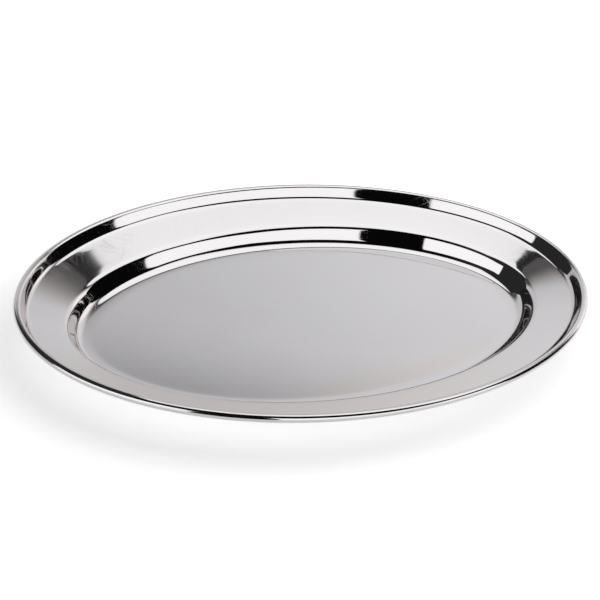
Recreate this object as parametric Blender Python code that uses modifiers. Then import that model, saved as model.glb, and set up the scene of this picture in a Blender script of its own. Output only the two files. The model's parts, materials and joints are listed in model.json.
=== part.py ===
"""Oval serving platter: one pressed sheet of stainless steel with a curled edge over a round wire.

Metres, +Z up, length along X. The platter stands on the underside of its well, at z = 0.
"""

import math

import bmesh
import bpy

# Overall size, at the outside of the curled edge
PLATTER_LENGTH = 0.400
PLATTER_WIDTH = 0.260
SHEET_THICKNESS = 0.0008

# Section of the sheet's upper face, from the well outwards. Slopes are angles above level.
WELL_SWEEP_RADIUS = 0.097
WELL_SWEEP_SLOPE = math.radians(4.4)
WELL_COVE_RADIUS = 0.0078
WELL_WALL_SLOPE = math.radians(59.3)
WELL_WALL_RUN = 0.0064
SHOULDER_RADIUS = 0.0061
BRIM_SLOPE = math.radians(14.2)
BRIM_RUN = 0.0225
EDGE_COVE_RADIUS = 0.0044
EDGE_WALL_SLOPE = math.radians(62.4)
EDGE_WALL_RUN = 0.0056
CURL_RADIUS = 0.0026
CURL_TURN = math.radians(292.0)

# Round wire inside the curl
WIRE_CLEARANCE = 0.00035
WIRE_RADIUS = CURL_RADIUS - SHEET_THICKNESS - WIRE_CLEARANCE

# Fineness
STEPS_AROUND = 72
WELL_SWEEP_STEPS = 2
WELL_COVE_STEPS = 4
SHOULDER_STEPS = 4
EDGE_COVE_STEPS = 3
CURL_STEPS = 13


def clear_scene():
    for old in list(bpy.data.objects):
        bpy.data.objects.remove(old, do_unlink=True)


def bend(points, radius, start, end, steps):
    """Carries the section on round a bend, from one slope to another."""
    out, height = points[-1]
    side = 1.0 if end > start else -1.0
    for step in range(1, steps + 1):
        slope = start + (end - start) * step / steps
        points.append(
            (
                out + side * radius * (math.sin(slope) - math.sin(start)),
                height + side * radius * (math.cos(start) - math.cos(slope)),
            )
        )


def straight(points, slope, length):
    """Carries the section on along a straight run."""
    out, height = points[-1]
    points.append(
        (out + length * math.cos(slope), height + length * math.sin(slope))
    )


def section():
    """The upper face from the edge of the flat well to the end of the curl, and the curl's centre, as (distance out, height)."""
    points = [(0.0, SHEET_THICKNESS)]
    bend(points, WELL_SWEEP_RADIUS, 0.0, WELL_SWEEP_SLOPE, WELL_SWEEP_STEPS)
    bend(
        points,
        WELL_COVE_RADIUS,
        WELL_SWEEP_SLOPE,
        WELL_WALL_SLOPE,
        WELL_COVE_STEPS,
    )
    straight(points, WELL_WALL_SLOPE, WELL_WALL_RUN)
    bend(points, SHOULDER_RADIUS, WELL_WALL_SLOPE, BRIM_SLOPE, SHOULDER_STEPS)
    straight(points, BRIM_SLOPE, BRIM_RUN)
    bend(points, EDGE_COVE_RADIUS, BRIM_SLOPE, EDGE_WALL_SLOPE, EDGE_COVE_STEPS)
    straight(points, EDGE_WALL_SLOPE, EDGE_WALL_RUN)
    out, height = points[-1]
    centre = (
        out + CURL_RADIUS * math.sin(EDGE_WALL_SLOPE),
        height - CURL_RADIUS * math.cos(EDGE_WALL_SLOPE),
    )
    bend(
        points,
        CURL_RADIUS,
        EDGE_WALL_SLOPE,
        EDGE_WALL_SLOPE - CURL_TURN,
        CURL_STEPS,
    )
    return points, centre


def oval_ring(inset, height):
    """One closed ring parallel to the platter's outline, this far inside it."""
    ring = []
    for step in range(STEPS_AROUND):
        angle = 2.0 * math.pi * step / STEPS_AROUND
        x = 0.5 * PLATTER_LENGTH * math.cos(angle)
        y = 0.5 * PLATTER_WIDTH * math.sin(angle)
        normal_x = 0.5 * PLATTER_WIDTH * math.cos(angle)
        normal_y = 0.5 * PLATTER_LENGTH * math.sin(angle)
        size = math.hypot(normal_x, normal_y)
        ring.append(
            (x - inset * normal_x / size, y - inset * normal_y / size, height)
        )
    return ring


def metal(name, shade, roughness):
    """A bare metal of one grey, as a Principled BSDF."""
    material = bpy.data.materials.new(name)
    material.use_nodes = True
    shader = material.node_tree.nodes["Principled BSDF"]
    shader.inputs["Base Color"].default_value = (shade, shade, shade, 1.0)
    shader.inputs["Metallic"].default_value = 1.0
    shader.inputs["Roughness"].default_value = roughness
    return material


def tray_pressing(points, reach, material, collection):
    """The whole sheet: well, wall, shoulder, brim, raised edge and curl."""
    bm = bmesh.new()
    rings = []
    for out, height in points:
        rings.append(
            [bm.verts.new(p) for p in oval_ring(reach - out, height)]
        )
    bm.faces.new(rings[0])
    for inner, outer in zip(rings, rings[1:]):
        for i in range(STEPS_AROUND):
            j = (i + 1) % STEPS_AROUND
            bm.faces.new((inner[i], outer[i], outer[j], inner[j]))
    mesh = bpy.data.meshes.new("tray_pressing")
    bm.to_mesh(mesh)
    bm.free()
    mesh.shade_smooth()
    mesh.materials.append(material)
    obj = bpy.data.objects.new("tray_pressing", mesh)
    collection.objects.link(obj)
    sheet = obj.modifiers.new("Sheet", "SOLIDIFY")
    sheet.thickness = SHEET_THICKNESS
    sheet.offset = -1.0
    sheet.use_even_offset = True
    sheet.use_rim = True
    return obj


def rim_wire(centre, reach, material, collection):
    """The closed ring of round wire that the curl is rolled over."""
    curve = bpy.data.curves.new("rim_wire", "CURVE")
    curve.dimensions = "3D"
    curve.bevel_depth = WIRE_RADIUS
    curve.bevel_resolution = 2
    spline = curve.splines.new("POLY")
    ring = oval_ring(reach - centre[0], centre[1])
    spline.points.add(len(ring) - 1)
    for point, place in zip(spline.points, ring):
        point.co = (*place, 1.0)
    spline.use_cyclic_u = True
    curve.materials.append(material)
    obj = bpy.data.objects.new("rim_wire", curve)
    collection.objects.link(obj)
    return obj


def main():
    clear_scene()
    collection = bpy.data.collections.new("oval_serving_platter")
    bpy.context.scene.collection.children.link(collection)
    points, centre = section()
    reach = centre[0] + CURL_RADIUS
    polished_steel = metal("polished_steel", 0.62, 0.05)
    drawn_wire = metal("drawn_wire", 0.5, 0.35)
    tray_pressing(points, reach, polished_steel, collection)
    rim_wire(centre, reach, drawn_wire, collection)


main()
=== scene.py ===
"""Oval serving platter in mirror-polished steel, laid out as a Blender add-on and run as a script."""

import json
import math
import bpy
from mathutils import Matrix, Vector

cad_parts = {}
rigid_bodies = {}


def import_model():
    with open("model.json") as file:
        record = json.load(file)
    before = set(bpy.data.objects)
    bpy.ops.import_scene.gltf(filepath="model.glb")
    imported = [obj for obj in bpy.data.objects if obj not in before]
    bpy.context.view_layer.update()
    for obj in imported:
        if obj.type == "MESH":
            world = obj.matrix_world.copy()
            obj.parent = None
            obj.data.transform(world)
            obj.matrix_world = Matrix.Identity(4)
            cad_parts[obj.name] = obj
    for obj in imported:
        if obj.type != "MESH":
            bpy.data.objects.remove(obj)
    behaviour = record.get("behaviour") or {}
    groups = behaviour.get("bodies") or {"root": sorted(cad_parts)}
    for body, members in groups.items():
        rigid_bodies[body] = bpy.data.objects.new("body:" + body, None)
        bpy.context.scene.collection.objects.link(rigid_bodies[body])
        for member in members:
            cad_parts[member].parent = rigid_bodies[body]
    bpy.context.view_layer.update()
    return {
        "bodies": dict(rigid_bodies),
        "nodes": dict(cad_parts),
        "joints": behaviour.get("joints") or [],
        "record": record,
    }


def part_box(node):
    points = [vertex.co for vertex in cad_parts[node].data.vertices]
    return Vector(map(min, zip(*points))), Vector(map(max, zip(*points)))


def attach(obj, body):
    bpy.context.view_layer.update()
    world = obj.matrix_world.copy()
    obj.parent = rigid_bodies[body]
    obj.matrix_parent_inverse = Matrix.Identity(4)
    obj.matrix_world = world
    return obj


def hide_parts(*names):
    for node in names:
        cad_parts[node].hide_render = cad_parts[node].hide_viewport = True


bl_info = {
    "name": "Oval Serving Platter",
    "version": (1, 0, 0),
    "blender": (4, 5, 0),
    "location": "View3D > Sidebar > Platter",
    "description": "Builds a polished oval platter, its rim wire and a plain studio",
    "category": "Add Mesh",
}

import bmesh
import bpy
from bpy.props import (
    FloatProperty,
    FloatVectorProperty,
    IntProperty,
    PointerProperty,
)
from bpy.types import Operator, Panel, PropertyGroup
from mathutils import Matrix, Vector

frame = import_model()
SHEET_LOW, SHEET_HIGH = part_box("tray_pressing")
MERGE_DISTANCE = 0.000002
WELL_BORDER = 0.004
CUT_EDGE_BEVEL = 0.00012
WIRE_STEPS = 12
FLOOR_SIZE = 8.0
FLOOR_HEIGHT = -0.0002


# --------------------------------------------------------------- settings


class PlatterSizes(PropertyGroup):
    """Sizes of the platter, in metres and radians."""

    length: FloatProperty(
        name="Length",
        description="Overall length, outside the curled edge",
        default=SHEET_HIGH.x - SHEET_LOW.x,
        unit="LENGTH",
    )
    width: FloatProperty(
        name="Width",
        description="Overall width, outside the curled edge",
        default=SHEET_HIGH.y - SHEET_LOW.y,
        unit="LENGTH",
    )
    sheet: FloatProperty(
        name="Sheet Thickness",
        description="Thickness of the pressed steel sheet",
        default=0.0008,
        unit="LENGTH",
        precision=5,
    )
    well_sweep_radius: FloatProperty(
        name="Well Sweep Radius",
        description="Wide radius where the flat well starts to rise",
        default=0.097,
        unit="LENGTH",
        precision=5,
    )
    well_sweep_slope: FloatProperty(
        name="Well Sweep Slope",
        description="Slope where the wide radius gives way to the cove",
        default=math.radians(4.4),
        subtype="ANGLE",
        unit="ROTATION",
    )
    well_cove_radius: FloatProperty(
        name="Well Cove Radius",
        description="Radius between the well and its wall",
        default=0.0078,
        unit="LENGTH",
        precision=5,
    )
    well_wall_slope: FloatProperty(
        name="Well Wall Slope",
        description="Slope of the well's wall above level",
        default=math.radians(59.3),
        subtype="ANGLE",
        unit="ROTATION",
    )
    well_wall_run: FloatProperty(
        name="Well Wall Run",
        description="Length of the wall's straight part",
        default=0.0064,
        unit="LENGTH",
        precision=5,
    )
    shoulder_radius: FloatProperty(
        name="Shoulder Radius",
        description="Radius where the wall turns over into the brim",
        default=0.0061,
        unit="LENGTH",
        precision=5,
    )
    brim_slope: FloatProperty(
        name="Brim Slope",
        description="Slope of the brim above level",
        default=math.radians(14.2),
        subtype="ANGLE",
        unit="ROTATION",
    )
    brim_run: FloatProperty(
        name="Brim Run",
        description="Breadth of the brim's straight part",
        default=0.0225,
        unit="LENGTH",
        precision=5,
    )
    edge_cove_radius: FloatProperty(
        name="Edge Cove Radius",
        description="Radius between the brim and the raised edge",
        default=0.0044,
        unit="LENGTH",
        precision=5,
    )
    edge_wall_slope: FloatProperty(
        name="Raised Edge Slope",
        description="Slope of the raised edge above level",
        default=math.radians(62.4),
        subtype="ANGLE",
        unit="ROTATION",
    )
    edge_wall_run: FloatProperty(
        name="Raised Edge Run",
        description="Length of the raised edge's straight part",
        default=0.005587,
        unit="LENGTH",
        precision=6,
    )
    curl_radius: FloatProperty(
        name="Curl Radius",
        description="Outer radius of the curled edge",
        default=0.0026,
        unit="LENGTH",
        precision=5,
    )
    curl_turn: FloatProperty(
        name="Curl Turn",
        description="How far round the edge is curled",
        default=math.radians(292.0),
        subtype="ANGLE",
        unit="ROTATION",
    )
    wire_clearance: FloatProperty(
        name="Wire Clearance",
        description="Air between the curl and its wire",
        default=0.00035,
        unit="LENGTH",
        precision=5,
    )
    corners: IntProperty(
        name="Corners Around",
        description="How many corners make up each oval ring",
        default=360,
    )


class PlatterFinish(PropertyGroup):
    """Colours and polish of the steel."""

    steel_colour: FloatVectorProperty(
        name="Steel Colour",
        description="Colour of the polished sheet",
        default=(0.62, 0.608, 0.614),
        subtype="COLOR",
        size=3,
        min=0.0,
        max=1.0,
    )
    wire_colour: FloatVectorProperty(
        name="Wire Colour",
        description="Colour of the drawn wire",
        default=(0.5, 0.49, 0.48),
        subtype="COLOR",
        size=3,
        min=0.0,
        max=1.0,
    )
    polish: FloatProperty(
        name="Polish",
        description="Roughness of the cleanest polished steel",
        default=0.03,
        min=0.0,
        max=1.0,
    )
    haze: FloatProperty(
        name="Haze",
        description="Roughness that wiping haze adds",
        default=0.02,
        min=0.0,
        max=1.0,
    )
    scratches: FloatProperty(
        name="Scratches",
        description="Roughness that a micro-scratch adds",
        default=0.09,
        min=0.0,
        max=1.0,
    )
    edge_wear: FloatProperty(
        name="Edge Wear",
        description="Roughness that rubbing adds along the top of the curl",
        default=0.14,
        min=0.0,
        max=1.0,
    )
    wave_depth: FloatProperty(
        name="Wave Depth",
        description="Height of the slight waves that pressing leaves in the sheet",
        default=0.00002,
        unit="LENGTH",
        min=0.0,
        precision=6,
    )
    scratch_depth: FloatProperty(
        name="Scratch Depth",
        description="Depth of a micro-scratch",
        default=0.000001,
        unit="LENGTH",
        min=0.0,
        precision=7,
    )


class StudioSettings(PropertyGroup):
    """The camera, the floor and the lights."""

    camera_azimuth: FloatProperty(
        name="Camera Azimuth",
        description="How far the camera stands to the right of the platter's front",
        default=math.radians(-30.49),
        subtype="ANGLE",
        unit="ROTATION",
    )
    camera_elevation: FloatProperty(
        name="Camera Elevation",
        description="How far the camera looks down",
        default=math.radians(33.64),
        subtype="ANGLE",
        unit="ROTATION",
    )
    camera_roll: FloatProperty(
        name="Camera Roll",
        description="How far the camera is turned about its own line of sight",
        default=math.radians(-10.39),
        subtype="ANGLE",
        unit="ROTATION",
    )
    camera_distance: FloatProperty(
        name="Camera Distance",
        description="Distance from the camera to the middle of the well",
        default=1.1306,
        unit="LENGTH",
    )
    camera_lens: FloatProperty(
        name="Camera Lens",
        description="Focal length in millimetres",
        default=102.27,
        unit="CAMERA",
    )
    camera_aim: FloatVectorProperty(
        name="Camera Aim",
        description="How far the camera is set right and up from the line to the well",
        default=(-0.00823, 0.01278, 0.0),
        unit="LENGTH",
        size=3,
    )
    floor_glow: FloatProperty(
        name="Floor Glow",
        description="Light that comes up through the floor of the lit table",
        default=0.5,
        min=0.0,
    )
    floor_colour: FloatVectorProperty(
        name="Floor Colour",
        description="Colour of the studio floor",
        default=(0.9, 0.9, 0.9),
        subtype="COLOR",
        size=3,
        min=0.0,
        max=1.0,
    )


# ---------------------------------------------------------------- section


def bend(points, radius, start, end, steps):
    """Carries the section on round a bend, from one slope to another."""
    out, height = points[-1]
    side = 1.0 if end > start else -1.0
    for step in range(1, steps + 1):
        slope = start + (end - start) * step / steps
        points.append(
            (
                out + side * radius * (math.sin(slope) - math.sin(start)),
                height + side * radius * (math.cos(start) - math.cos(slope)),
            )
        )


def straight(points, slope, length, steps):
    """Carries the section on along a straight run."""
    out, height = points[-1]
    for step in range(1, steps + 1):
        run = length * step / steps
        points.append(
            (out + run * math.cos(slope), height + run * math.sin(slope))
        )


def sheet_section(sizes):
    """The sheet's upper face as (distance in from the outline, height).

    It comes split at the outermost point of the curl, with the curl's centre third.
    """
    points = [(0.0, sizes.sheet)]
    bend(points, sizes.well_sweep_radius, 0.0, sizes.well_sweep_slope, 6)
    bend(
        points,
        sizes.well_cove_radius,
        sizes.well_sweep_slope,
        sizes.well_wall_slope,
        16,
    )
    straight(points, sizes.well_wall_slope, sizes.well_wall_run, 4)
    bend(
        points,
        sizes.shoulder_radius,
        sizes.well_wall_slope,
        sizes.brim_slope,
        12,
    )
    straight(points, sizes.brim_slope, sizes.brim_run, 6)
    bend(
        points,
        sizes.edge_cove_radius,
        sizes.brim_slope,
        sizes.edge_wall_slope,
        12,
    )
    straight(points, sizes.edge_wall_slope, sizes.edge_wall_run, 3)
    out, height = points[-1]
    centre = (
        out + sizes.curl_radius * math.sin(sizes.edge_wall_slope),
        height - sizes.curl_radius * math.cos(sizes.edge_wall_slope),
    )
    outermost = -0.5 * math.pi
    bend(points, sizes.curl_radius, sizes.edge_wall_slope, outermost, 22)
    upper = list(points)
    lower = [points[-1]]
    bend(
        lower,
        sizes.curl_radius,
        outermost,
        sizes.edge_wall_slope - sizes.curl_turn,
        18,
    )
    reach = centre[0] + sizes.curl_radius
    upper = [(reach - out, height) for out, height in reversed(upper)]
    lower = [(reach - out, height) for out, height in lower]
    return upper, lower, (reach - centre[0], centre[1])


# ------------------------------------------------------------- edit tools


def clear_selection():
    """Leaves object mode with nothing selected."""
    if bpy.context.object and bpy.context.object.mode != "OBJECT":
        bpy.ops.object.mode_set(mode="OBJECT")
    bpy.ops.object.select_all(action="DESELECT")


def add_oval_face(sizes, height):
    """Adds one oval face on the platter's outline at a height, and leaves it open in edit mode."""
    bpy.ops.mesh.primitive_circle_add(
        vertices=sizes.corners,
        radius=1.0,
        fill_type="NGON",
        location=(0.0, 0.0, height),
    )
    obj = bpy.context.object
    bpy.ops.object.transform_apply(location=True, rotation=True, scale=True)
    bpy.ops.object.mode_set(mode="EDIT")
    bpy.ops.mesh.select_mode(type="FACE")
    bpy.ops.mesh.select_all(action="SELECT")
    bpy.ops.transform.resize(
        value=(0.5 * sizes.length, 0.5 * sizes.width, 1.0),
        center_override=(0.0, 0.0, height),
    )
    return obj


def inset_along(points):
    """Insets the selected face from point to point of a section that runs inwards."""
    for (near, low), (far, high) in zip(points, points[1:]):
        bpy.ops.mesh.inset(
            thickness=far - near,
            depth=high - low,
            use_boundary=True,
            use_even_offset=True,
        )


def active_mesh():
    return bmesh.from_edit_mesh(bpy.context.object.data)


def select_faces(test):
    """Selects the faces of the open mesh that pass a test, and no others."""
    bpy.ops.mesh.select_all(action="DESELECT")
    bm = active_mesh()
    for face in bm.faces:
        face.select_set(test(face))
    bm.select_flush_mode()
    bmesh.update_edit_mesh(bpy.context.object.data)


def apply_modifiers(obj):
    for name in [modifier.name for modifier in obj.modifiers]:
        bpy.ops.object.modifier_apply(modifier=name)


# ----------------------------------------------------------- node helpers


def maths(tree, operation, *values):
    """A Math node fed by numbers or by other nodes' outputs; gives its output."""
    node = tree.nodes.new("ShaderNodeMath")
    node.operation = operation
    for socket, value in zip(node.inputs, values):
        if isinstance(value, (int, float)):
            socket.default_value = value
        else:
            tree.links.new(value, socket)
    return node.outputs[0]


def ramp(tree, value, start, end, low=0.0, high=1.0):
    """Smooth step of a value from one level to another."""
    node = tree.nodes.new("ShaderNodeMapRange")
    node.interpolation_type = "SMOOTHSTEP"
    tree.links.new(value, node.inputs["Value"])
    numbers = (start, end, low, high)
    for name, number in zip(("From Min", "From Max", "To Min", "To Max"), numbers):
        node.inputs[name].default_value = number
    return node.outputs["Result"]


def between(tree, value, start, end, blur):
    """Mask that is 1 between two values, with soft edges."""
    rise = ramp(tree, value, start - blur, start + blur)
    fall = ramp(tree, value, end - blur, end + blur, 1.0, 0.0)
    return maths(tree, "MULTIPLY", rise, fall)


def blend(tree, mask, base, top):
    """Lays one light level over another where the mask is 1."""
    node = tree.nodes.new("ShaderNodeMix")
    node.data_type = "FLOAT"
    sockets = (node.inputs[0], node.inputs[2], node.inputs[3])
    for socket, value in zip(sockets, (mask, base, top)):
        if isinstance(value, (int, float)):
            socket.default_value = value
        else:
            tree.links.new(value, socket)
    return node.outputs[0]


# -------------------------------------------------------------- materials


RUBBED_BAND = 0.0025  # how far down from the top of the curl rubbing reaches


def new_group(name, inputs, output):
    """A node group with these inputs and one value output; gives the tree and its two end nodes."""
    tree = bpy.data.node_groups.new(name, "ShaderNodeTree")
    for label, kind, value in inputs:
        socket = tree.interface.new_socket(name=label, in_out="INPUT", socket_type=kind)
        socket.default_value = value
    tree.interface.new_socket(name=output, in_out="OUTPUT", socket_type="NodeSocketFloat")
    return tree, tree.nodes.new("NodeGroupInput"), tree.nodes.new("NodeGroupOutput")


def noise(tree, vector, scale, detail):
    """A Noise texture's value on these coordinates."""
    node = tree.nodes.new("ShaderNodeTexNoise")
    node.inputs["Scale"].default_value = scale
    node.inputs["Detail"].default_value = detail
    tree.links.new(vector, node.inputs["Vector"])
    return node.outputs["Fac"]


def hairlines_group():
    """Fine straight marks that run one way and fade in and out.

    Cell is their length and spacing in metres.
    """
    tree, start, end = new_group(
        "hairlines",
        (
            ("Turn", "NodeSocketVector", (0.0, 0.0, 0.0)),
            ("Cell", "NodeSocketVector", (0.03, 0.0006, 0.03)),
            ("Level", "NodeSocketFloat", 0.66),
        ),
        "Lines",
    )
    place = tree.nodes.new("ShaderNodeTexCoord").outputs["Object"]
    turn = tree.nodes.new("ShaderNodeMapping")
    turn.vector_type = "TEXTURE"
    tree.links.new(place, turn.inputs["Vector"])
    tree.links.new(start.outputs["Turn"], turn.inputs["Rotation"])
    tree.links.new(start.outputs["Cell"], turn.inputs["Scale"])
    streaks = noise(tree, turn.outputs["Vector"], 1.0, 1.0)
    above = maths(tree, "SUBTRACT", streaks, start.outputs["Level"])
    lines = ramp(tree, above, 0.0, 0.05)
    patches = ramp(tree, noise(tree, place, 38.0, 1.0), 0.42, 0.62)
    tree.links.new(maths(tree, "MULTIPLY", lines, patches), end.inputs["Lines"])
    return tree


def haze_group():
    """Soft cloudy bloom left by wiping and polishing, from 0 to 1."""
    tree, start, end = new_group("wiping_haze", (("Scale", "NodeSocketFloat", 14.0),), "Haze")
    place = tree.nodes.new("ShaderNodeTexCoord").outputs["Object"]
    node = tree.nodes.new("ShaderNodeTexNoise")
    node.inputs["Detail"].default_value = 4.0
    node.inputs["Distortion"].default_value = 0.6
    tree.links.new(place, node.inputs["Vector"])
    tree.links.new(start.outputs["Scale"], node.inputs["Scale"])
    tree.links.new(ramp(tree, node.outputs["Fac"], 0.32, 0.72), end.inputs["Haze"])
    return tree


def add_group(tree, group, **settings):
    """Puts a node group in a material with these input values; gives its output."""
    node = tree.nodes.new("ShaderNodeGroup")
    node.node_tree = group
    for label, value in settings.items():
        node.inputs[label].default_value = value
    return node.outputs[0]


def metal(name, colour):
    """A bare metal; gives the material, its tree, its shader and its object coordinates."""
    material = bpy.data.materials.new(name)
    material.use_nodes = True
    tree = material.node_tree
    shader = tree.nodes["Principled BSDF"]
    shader.inputs["Base Color"].default_value = (*colour, 1.0)
    shader.inputs["Metallic"].default_value = 1.0
    place = tree.nodes.new("ShaderNodeTexCoord").outputs["Object"]
    return material, tree, shader, place


def tint(tree, socket, colour, worn, mask):
    """Shifts a colour towards another one where the mask is 1."""
    mix = tree.nodes.new("ShaderNodeMix")
    mix.data_type = "RGBA"
    tree.links.new(mask, mix.inputs[0])
    mix.inputs[6].default_value = (*colour, 1.0)
    mix.inputs[7].default_value = (*worn, 1.0)
    tree.links.new(mix.outputs[2], socket)


def relief(tree, shader, height):
    """Turns a height in metres into the shader's surface normal."""
    bump = tree.nodes.new("ShaderNodeBump")
    bump.inputs["Distance"].default_value = 1.0
    tree.links.new(height, bump.inputs["Height"])
    tree.links.new(bump.outputs["Normal"], shader.inputs["Normal"])


def shared_group(name, make):
    """Gives a node group, and makes it the first time it is wanted."""
    return bpy.data.node_groups.get(name) or make()


def polished_steel(finish, sizes):
    """Mirror-polished stainless sheet.

    It is nearly clean, with wiping haze, micro-scratches, a rubbed top edge and a scuffed foot.
    """
    colour = finish.steel_colour
    material, tree, shader, place = metal("polished_steel_sheet", colour)
    split = tree.nodes.new("ShaderNodeSeparateXYZ")
    tree.links.new(place, split.inputs["Vector"])
    height = split.outputs["Z"]
    haze = shared_group("wiping_haze", haze_group)
    hairlines = shared_group("hairlines", hairlines_group)
    bloom = add_group(tree, haze, Scale=14.0)
    scratches = add_group(tree, hairlines, Turn=(0.0, 0.0, 0.3), Cell=(0.045, 0.0006, 0.045))
    for turn, cell in ((1.2, 0.03), (2.2, 0.06), (2.9, 0.02)):
        more = add_group(tree, hairlines, Turn=(0.0, 0.0, turn), Cell=(cell, 0.0005, cell))
        scratches = maths(tree, "MAXIMUM", scratches, more)
    _, _, (_, curl_height) = sheet_section(sizes)
    top = curl_height + sizes.curl_radius
    rubbed = maths(tree, "MULTIPLY", ramp(tree, height, top - RUBBED_BAND, top), bloom)
    foot = ramp(tree, height, 0.0004, 0.0001)
    scuffs = add_group(tree, hairlines, Turn=(0.0, 0.0, 0.7), Cell=(0.02, 0.0008, 0.02), Level=0.55)
    roughness = finish.polish
    for mask, amount in (
        (bloom, finish.haze),
        (scratches, finish.scratches),
        (rubbed, finish.edge_wear),
        (maths(tree, "MULTIPLY", foot, scuffs), 2.0 * finish.edge_wear),
        (foot, finish.haze),
    ):
        roughness = maths(tree, "ADD", roughness, maths(tree, "MULTIPLY", mask, amount))
    tree.links.new(roughness, shader.inputs["Roughness"])
    worn = (0.985 * colour[0], 0.98 * colour[1], 0.978 * colour[2])
    tint(tree, shader.inputs["Base Color"], colour, worn, bloom)
    waves = maths(tree, "MULTIPLY", noise(tree, place, 24.0, 1.0), finish.wave_depth)
    grooves = maths(tree, "MULTIPLY", scratches, -finish.scratch_depth)
    relief(tree, shader, maths(tree, "ADD", waves, grooves))
    return material


def drawn_wire(finish):
    """Plain drawn steel wire: die lines that run along it, dull grey bloom."""
    colour = finish.wire_colour
    material, tree, shader, _ = metal("drawn_steel_wire", colour)
    haze = shared_group("wiping_haze", haze_group)
    hairlines = shared_group("hairlines", hairlines_group)
    lines = add_group(tree, hairlines, Cell=(0.02, 0.02, 0.00025), Level=0.5)
    bloom = add_group(tree, haze, Scale=60.0)
    roughness = maths(tree, "ADD", 0.28, maths(tree, "MULTIPLY", lines, 0.12))
    roughness = maths(tree, "ADD", roughness, maths(tree, "MULTIPLY", bloom, 0.1))
    tree.links.new(roughness, shader.inputs["Roughness"])
    worn = (0.8 * colour[0], 0.77 * colour[1], 0.74 * colour[2])
    tint(tree, shader.inputs["Base Color"], colour, worn, bloom)
    relief(tree, shader, maths(tree, "MULTIPLY", lines, -2.0 * finish.scratch_depth))
    return material


# ----------------------------------------------------------- studio lights


# White cards beside the camera: name, then where each starts and ends, in
# degrees round from the camera with right positive, and its brightness.
SIDE_CARDS = (
    ("left card", -67.5, 0.7, 1.5),
    ("right card", 27.0, 89.0, 1.48),
)
CARD_TOP = 134.7  # degrees above the far horizon, over the platter
CARD_END_HEIGHT = 27.5  # degrees above level, at the cards' outer ends
CARD_BLUR = 0.6
ROOM_LIGHT = 0.03

# Places are right of, beyond and above the platter, as the camera sees it.
SOFTBOX_MIDDLE = (0.235, 0.2827, 0.65)
SOFTBOX_SIZE = (0.93, 0.703)
SOFTBOX_FACE = 0.88
SOFTBOX_BRIGHTNESS = 1.45
BACKDROP_FOOT = (0.0, 1.0, 0.0)
BACKDROP_SIZE = (3.0, 1.25)
BACKDROP_WARM_FROM = 0.812
BACKDROP_WARM_LEAN = 0.59
# Painted brightness of the glowing backdrop card, which stands in for lit paper, as the steel shows
# it: at its left, what its middle adds, and at its right before the middle is added
PAPER_LEFT = 0.5
PAPER_STEP = 0.14
PAPER_RIGHT = 0.73
COOL_PAPER = (1.0, 1.0, 1.015)
WARM_PAPER = (1.02, 0.985, 0.965)
STEEL_REFLECTANCE = 0.62
FLOOR_LIFT = 0.03  # extra glow that only the camera sees
FLOOR_PAINTED_FADE = (1.02, 1.55)  # where painted glow, seen by the camera only, fades the floor to white; the platter's outline is at 1
# strength of that painted glow at the outer end of the fade
FLOOR_PAINTED_FADE_LIGHT = 0.45


def dark_room(tree, studio):
    """The room as the platter sees it: dark, with a tall white card each side of the camera.

    The camera itself sees plain white.
    """
    nodes, links = tree.nodes, tree.links
    turn = nodes.new("ShaderNodeMapping")
    turn.inputs["Rotation"].default_value = (0.0, 0.0, -studio.camera_azimuth)
    links.new(nodes.new("ShaderNodeTexCoord").outputs["Generated"], turn.inputs["Vector"])
    split = nodes.new("ShaderNodeSeparateXYZ")
    links.new(turn.outputs["Vector"], split.inputs["Vector"])
    right, away, up = split.outputs
    degrees = math.degrees(1.0)
    towards = maths(tree, "MULTIPLY", away, -1.0)
    round_angle = maths(tree, "MULTIPLY", maths(tree, "ARCTAN2", right, towards), degrees)
    over_angle = maths(tree, "MULTIPLY", maths(tree, "ARCTAN2", up, away), degrees)
    height_angle = maths(tree, "MULTIPLY", maths(tree, "ARCSINE", up), degrees)
    under_top = ramp(tree, over_angle, CARD_TOP - CARD_BLUR, CARD_TOP + CARD_BLUR)
    low, high = CARD_END_HEIGHT - CARD_BLUR, CARD_END_HEIGHT + CARD_BLUR
    under_end = ramp(tree, height_angle, low, high, 1.0, 0.0)
    below_top = maths(tree, "MAXIMUM", under_top, under_end)
    light = ramp(tree, round_angle, -60.0, 0.0, ROOM_LIGHT, 0.1 * ROOM_LIGHT)
    for _, start, end, brightness in SIDE_CARDS:
        sideways = between(tree, round_angle, start, end, CARD_BLUR)
        card = maths(tree, "MULTIPLY", sideways, below_top)
        light = blend(tree, card, light, brightness)
    camera_ray = nodes.new("ShaderNodeLightPath").outputs["Is Camera Ray"]
    light = blend(tree, camera_ray, light, 1.0)
    links.new(light, nodes["Background"].inputs["Strength"])
    nodes["Background"].inputs["Color"].default_value = (1.0, 1.0, 1.0, 1.0)


def glowing(name, level, place, turn, scale):
    """A card's emission material, whose strength follows the card's own across and along.

    These are measured from a place on the card, and in the units that scale gives.
    """
    material = bpy.data.materials.new(name)
    material.use_nodes = True
    tree = material.node_tree
    tree.nodes.remove(tree.nodes["Principled BSDF"])
    emission = tree.nodes.new("ShaderNodeEmission")
    own = tree.nodes.new("ShaderNodeMapping")
    own.vector_type = "TEXTURE"
    own.inputs["Location"].default_value = place
    own.inputs["Rotation"].default_value = turn
    own.inputs["Scale"].default_value = scale
    coordinates = tree.nodes.new("ShaderNodeTexCoord").outputs["Object"]
    tree.links.new(coordinates, own.inputs["Vector"])
    split = tree.nodes.new("ShaderNodeSeparateXYZ")
    tree.links.new(own.outputs["Vector"], split.inputs["Vector"])
    across, along, _ = split.outputs
    tree.links.new(level(tree, across, along), emission.inputs["Strength"])
    surface = tree.nodes["Material Output"].inputs["Surface"]
    tree.links.new(emission.outputs[0], surface)
    return material, tree, emission, split


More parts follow.
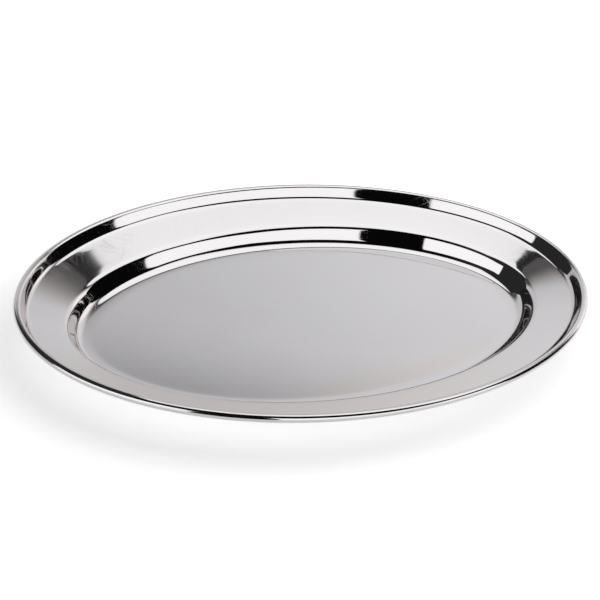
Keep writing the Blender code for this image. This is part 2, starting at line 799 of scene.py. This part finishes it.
def glowing_backdrop(place, turn):
    """The grey backdrop, a glowing card with painted light and shade in its glow, a little warmer
    near the floor and above a slanting edge.
    """
    material, tree, emission, split = glowing(
        "glowing_backdrop", backdrop_level, place, turn, (1.0, 1.0, 1.0)
    )
    lean = maths(tree, "MULTIPLY", split.outputs["X"], BACKDROP_WARM_LEAN)
    height = maths(tree, "ADD", split.outputs["Y"], lean)
    above = ramp(tree, height, BACKDROP_WARM_FROM - 0.01, BACKDROP_WARM_FROM + 0.01)
    foot = ramp(tree, split.outputs["Y"], 0.24, 0.4, 1.0, 0.0)
    warm = maths(tree, "MAXIMUM", above, foot)
    tint(tree, emission.inputs["Color"], COOL_PAPER, WARM_PAPER, warm)
    return material


def softbox_level(tree, across, along):
    """Even white face, a little dimmer to its edges, in a black frame. Its half sizes are 1."""
    sideways = maths(tree, "ABSOLUTE", across)
    reach = maths(tree, "MAXIMUM", sideways, maths(tree, "ABSOLUTE", along))
    dimmer = 0.9 * SOFTBOX_BRIGHTNESS
    face = ramp(tree, reach, 0.45, SOFTBOX_FACE, SOFTBOX_BRIGHTNESS, dimmer)
    frame = ramp(tree, reach, SOFTBOX_FACE - 0.005, SOFTBOX_FACE + 0.005)
    return blend(tree, frame, face, ROOM_LIGHT)


def backdrop_level(tree, across, up):
    """Glow of the card that stands in for grey paper: painted shade darkens it near the floor and
    towards its top, and painted light makes it paler to the right.
    """
    # painted shade at the foot and the head, painted light to the right
    foot = ramp(tree, up, 0.0, 0.36, 0.7, 1.0)
    middle = ramp(tree, up, 0.56, 0.7, 1.0, 0.94)
    head = maths(tree, "MULTIPLY", middle, ramp(tree, up, 0.7, 1.0, 1.0, 0.15))
    middle_light = PAPER_STEP / STEEL_REFLECTANCE
    left_light = PAPER_LEFT / STEEL_REFLECTANCE
    right_light = PAPER_RIGHT / STEEL_REFLECTANCE
    side = ramp(tree, across, -0.3, 0.3, 0.0, middle_light)
    edge = ramp(tree, across, 0.5, 0.85, left_light, right_light)
    paper = maths(tree, "ADD", side, edge)
    return maths(tree, "MULTIPLY", maths(tree, "MULTIPLY", foot, head), paper)


def seen_place(middle, azimuth):
    """Turns a place right of, beyond and above the platter into the frame's x, y and z."""
    right, away, up = middle
    return (
        right * math.cos(azimuth) - away * math.sin(azimuth),
        right * math.sin(azimuth) + away * math.cos(azimuth),
        up,
    )


def pale_floor(sizes, studio):
    """Softly lit white table, clear from below. For the camera alone it also carries painted light:
    an even lift, and more that grows with distance from the platter's outline, so that it fades to
    white round the platter.
    """
    material = bpy.data.materials.new("pale_floor")
    material.use_nodes = True
    tree = material.node_tree
    shader = tree.nodes["Principled BSDF"]
    shader.inputs["Base Color"].default_value = (*studio.floor_colour, 1.0)
    shader.inputs["Roughness"].default_value = 0.6
    shader.inputs["Emission Color"].default_value = (1.0, 1.0, 1.0, 1.0)
    camera_ray = tree.nodes.new("ShaderNodeLightPath").outputs["Is Camera Ray"]
    ovals = tree.nodes.new("ShaderNodeVectorMath")
    ovals.operation = "DIVIDE"
    ovals.inputs[1].default_value = (0.5 * sizes.length, 0.5 * sizes.width, 1.0)
    place = tree.nodes.new("ShaderNodeTexCoord").outputs["Object"]
    tree.links.new(place, ovals.inputs[0])
    distance = tree.nodes.new("ShaderNodeVectorMath")
    distance.operation = "LENGTH"
    tree.links.new(ovals.outputs["Vector"], distance.inputs[0])
    # Painted light for the camera only: the floor glows more the farther it lies from the platter.
    painted_fade = ramp(tree, distance.outputs["Value"], *FLOOR_PAINTED_FADE, 0.0, FLOOR_PAINTED_FADE_LIGHT)
    seen = maths(tree, "ADD", studio.floor_glow + FLOOR_LIFT, painted_fade)
    glow = blend(tree, camera_ray, studio.floor_glow, seen)
    tree.links.new(glow, shader.inputs["Emission Strength"])
    from_below = tree.nodes.new("ShaderNodeNewGeometry").outputs["Backfacing"]
    clear = tree.nodes.new("ShaderNodeBsdfTransparent")
    either = tree.nodes.new("ShaderNodeMixShader")
    tree.links.new(from_below, either.inputs[0])
    tree.links.new(shader.outputs[0], either.inputs[1])
    tree.links.new(clear.outputs[0], either.inputs[2])
    tree.links.new(either.outputs[0], tree.nodes["Material Output"].inputs["Surface"])
    return material


# -------------------------------------------------------------- operators


class PLATTER_OT_sheet(Operator):
    """Model the pressed sheet: well, wall, brim, raised edge and curl"""

    bl_idname = "platter.sheet"
    bl_label = "Pressed Sheet"
    bl_options = {"REGISTER", "UNDO"}

    def execute(self, context):
        sizes = context.scene.platter_sizes
        clear_selection()
        upper, lower, _ = sheet_section(sizes)
        obj = add_oval_face(sizes, upper[0][1])
        obj.name = obj.data.name = "platter_sheet"
        bpy.ops.mesh.duplicate()
        bpy.ops.mesh.flip_normals()
        inset_along([(inset, -height) for inset, height in lower])
        bpy.ops.mesh.delete(type="ONLY_FACE")
        start = max(active_mesh().faces, key=lambda face: len(face.verts))
        start_index = start.index
        select_faces(lambda face: face.index == start_index)
        inset_along(upper)
        bpy.ops.mesh.inset(thickness=WELL_BORDER, depth=0.0)
        bpy.ops.mesh.select_all(action="SELECT")
        bpy.ops.mesh.remove_doubles(threshold=MERGE_DISTANCE)
        bpy.ops.mesh.faces_shade_smooth()
        bpy.ops.object.mode_set(mode="OBJECT")
        thicken = obj.modifiers.new("Sheet", "SOLIDIFY")
        thicken.thickness = sizes.sheet
        thicken.offset = -1.0
        thicken.use_even_offset = True
        soften = obj.modifiers.new("Cut edge", "BEVEL")
        soften.width = CUT_EDGE_BEVEL
        soften.segments = 2
        soften.limit_method = "ANGLE"
        soften.angle_limit = math.radians(60.0)
        apply_modifiers(obj)
        obj.data.materials.append(
            polished_steel(context.scene.platter_finish, context.scene.platter_sizes)
        )
        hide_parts("tray_pressing")
        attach(obj, "root")
        return {"FINISHED"}


class PLATTER_OT_wire(Operator):
    """Model the round wire inside the curl, as one closed ring"""

    bl_idname = "platter.wire"
    bl_label = "Rim Wire"
    bl_options = {"REGISTER", "UNDO"}

    def execute(self, context):
        sizes = context.scene.platter_sizes
        clear_selection()
        _, _, (inset, height) = sheet_section(sizes)
        radius = sizes.curl_radius - sizes.sheet - sizes.wire_clearance
        half_turn = [math.pi * step / WIRE_STEPS for step in range(WIRE_STEPS + 1)]
        half = [
            (inset - radius * math.cos(turn), radius * math.sin(turn))
            for turn in half_turn
        ]
        obj = add_oval_face(sizes, height)
        obj.name = obj.data.name = "curled_in_wire"
        inset_along([(0.0, 0.0), half[0]])
        bpy.ops.mesh.select_all(action="INVERT")
        bpy.ops.mesh.delete(type="FACE")
        bpy.ops.mesh.select_all(action="SELECT")
        bpy.ops.mesh.duplicate()
        bpy.ops.mesh.flip_normals()
        inset_along(half)
        bpy.ops.mesh.delete(type="ONLY_FACE")
        start = max(active_mesh().faces, key=lambda face: len(face.verts))
        start_index = start.index
        select_faces(lambda face: face.index == start_index)
        inset_along(half)
        bpy.ops.mesh.delete(type="ONLY_FACE")
        bpy.ops.mesh.select_all(action="SELECT")
        bpy.ops.mesh.remove_doubles(threshold=MERGE_DISTANCE)
        bpy.ops.mesh.normals_make_consistent(inside=False)
        bpy.ops.mesh.faces_shade_smooth()
        bpy.ops.object.mode_set(mode="OBJECT")
        obj.data.materials.append(drawn_wire(context.scene.platter_finish))
        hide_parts("rim_wire")
        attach(obj, "root")
        return {"FINISHED"}


class PLATTER_OT_studio(Operator):
    """Set the camera, the pale floor and the soft lights"""

    bl_idname = "platter.studio"
    bl_label = "Studio"
    bl_options = {"REGISTER", "UNDO"}

    def execute(self, context):
        studio = context.scene.platter_studio
        clear_selection()
        self.place_camera(context, studio)
        self.lay_floor(context.scene.platter_sizes, studio)
        self.light(context, studio)
        context.scene.view_settings.view_transform = "Standard"
        return {"FINISHED"}

    def place_camera(self, context, studio):
        azimuth, elevation = studio.camera_azimuth, studio.camera_elevation
        back = Vector(
            (
                math.sin(azimuth) * math.cos(elevation),
                -math.cos(azimuth) * math.cos(elevation),
                math.sin(elevation),
            )
        )
        right = Vector((math.cos(azimuth), math.sin(azimuth), 0.0))
        up = back.cross(right)
        middle = Vector((0.0, 0.0, context.scene.platter_sizes.sheet))
        place = (
            middle
            + back * studio.camera_distance
            + right * studio.camera_aim[0]
            + up * studio.camera_aim[1]
        )
        roll = studio.camera_roll
        rolled_right = right * math.cos(roll) - up * math.sin(roll)
        rolled_up = right * math.sin(roll) + up * math.cos(roll)
        turn = Matrix((rolled_right, rolled_up, back)).transposed()
        bpy.ops.object.camera_add(location=place, rotation=turn.to_euler())
        camera = context.object
        camera.name = "studio_camera"
        camera.data.lens = studio.camera_lens
        camera.data.sensor_width = 36.0
        context.scene.camera = camera

    def lay_floor(self, sizes, studio):
        place = (0.0, 0.0, FLOOR_HEIGHT)
        bpy.ops.mesh.primitive_plane_add(size=FLOOR_SIZE, location=place)
        floor = bpy.context.object
        floor.name = "studio_floor"
        bpy.ops.object.transform_apply(location=True, rotation=True, scale=True)
        floor.data.materials.append(pale_floor(sizes, studio))

    def light(self, context, studio):
        world = bpy.data.worlds.new("studio_world")
        world.use_nodes = True
        dark_room(world.node_tree, studio)
        context.scene.world = world
        azimuth = studio.camera_azimuth
        place = seen_place(SOFTBOX_MIDDLE, azimuth)
        turn = (0.0, 0.0, azimuth)
        softbox = self.hang_card("overhead_softbox", place, turn, SOFTBOX_SIZE)
        half_size = (0.5 * SOFTBOX_SIZE[0], 0.5 * SOFTBOX_SIZE[1], 1.0)
        face = glowing("softbox_face", softbox_level, place, turn, half_size)[0]
        softbox.data.materials.append(face)
        foot = seen_place(BACKDROP_FOOT, azimuth)
        place = (foot[0], foot[1], foot[2] + 0.5 * BACKDROP_SIZE[1])
        turn = (0.5 * math.pi, 0.0, azimuth)
        # a glowing card whose painted glow stands in for lit grey paper
        backdrop = self.hang_card("grey_backdrop", place, turn, BACKDROP_SIZE)
        backdrop.data.materials.append(glowing_backdrop(foot, turn))

    def hang_card(self, name, place, turn, size):
        """Adds one flat card, seen only in reflections."""
        bpy.ops.mesh.primitive_plane_add(size=1.0, location=place, rotation=turn)
        card = bpy.context.object
        card.name = name
        card.scale = (size[0], size[1], 1.0)
        bpy.ops.object.transform_apply(location=True, rotation=True, scale=True)
        card.visible_camera = False
        return card


# ------------------------------------------------------------------ panel


class PLATTER_PT_panel(Panel):
    """The platter's sizes, its finish and the buttons that build it"""

    bl_idname = "PLATTER_PT_panel"
    bl_label = "Oval Platter"
    bl_space_type = "VIEW_3D"
    bl_region_type = "UI"
    bl_category = "Platter"

    def draw(self, context):
        layout = self.layout
        for settings in (
            context.scene.platter_sizes,
            context.scene.platter_finish,
            context.scene.platter_studio,
        ):
            box = layout.box()
            for name in settings.__annotations__:
                box.prop(settings, name)
        for operator in PIECES:
            layout.operator(operator.bl_idname)


PIECES = (PLATTER_OT_sheet, PLATTER_OT_wire, PLATTER_OT_studio)
CLASSES = (
    PlatterSizes,
    PlatterFinish,
    StudioSettings,
    *PIECES,
    PLATTER_PT_panel,
)


def register():
    for cls in CLASSES:
        bpy.utils.register_class(cls)
    scene = bpy.types.Scene
    scene.platter_sizes = PointerProperty(type=PlatterSizes)
    scene.platter_finish = PointerProperty(type=PlatterFinish)
    scene.platter_studio = PointerProperty(type=StudioSettings)


def unregister():
    scene = bpy.types.Scene
    del scene.platter_studio
    del scene.platter_finish
    del scene.platter_sizes
    for cls in reversed(CLASSES):
        bpy.utils.unregister_class(cls)


def main():
    register()
    bpy.ops.platter.sheet()
    bpy.ops.platter.wire()
    bpy.ops.platter.studio()


if __name__ == "__main__":
    main()
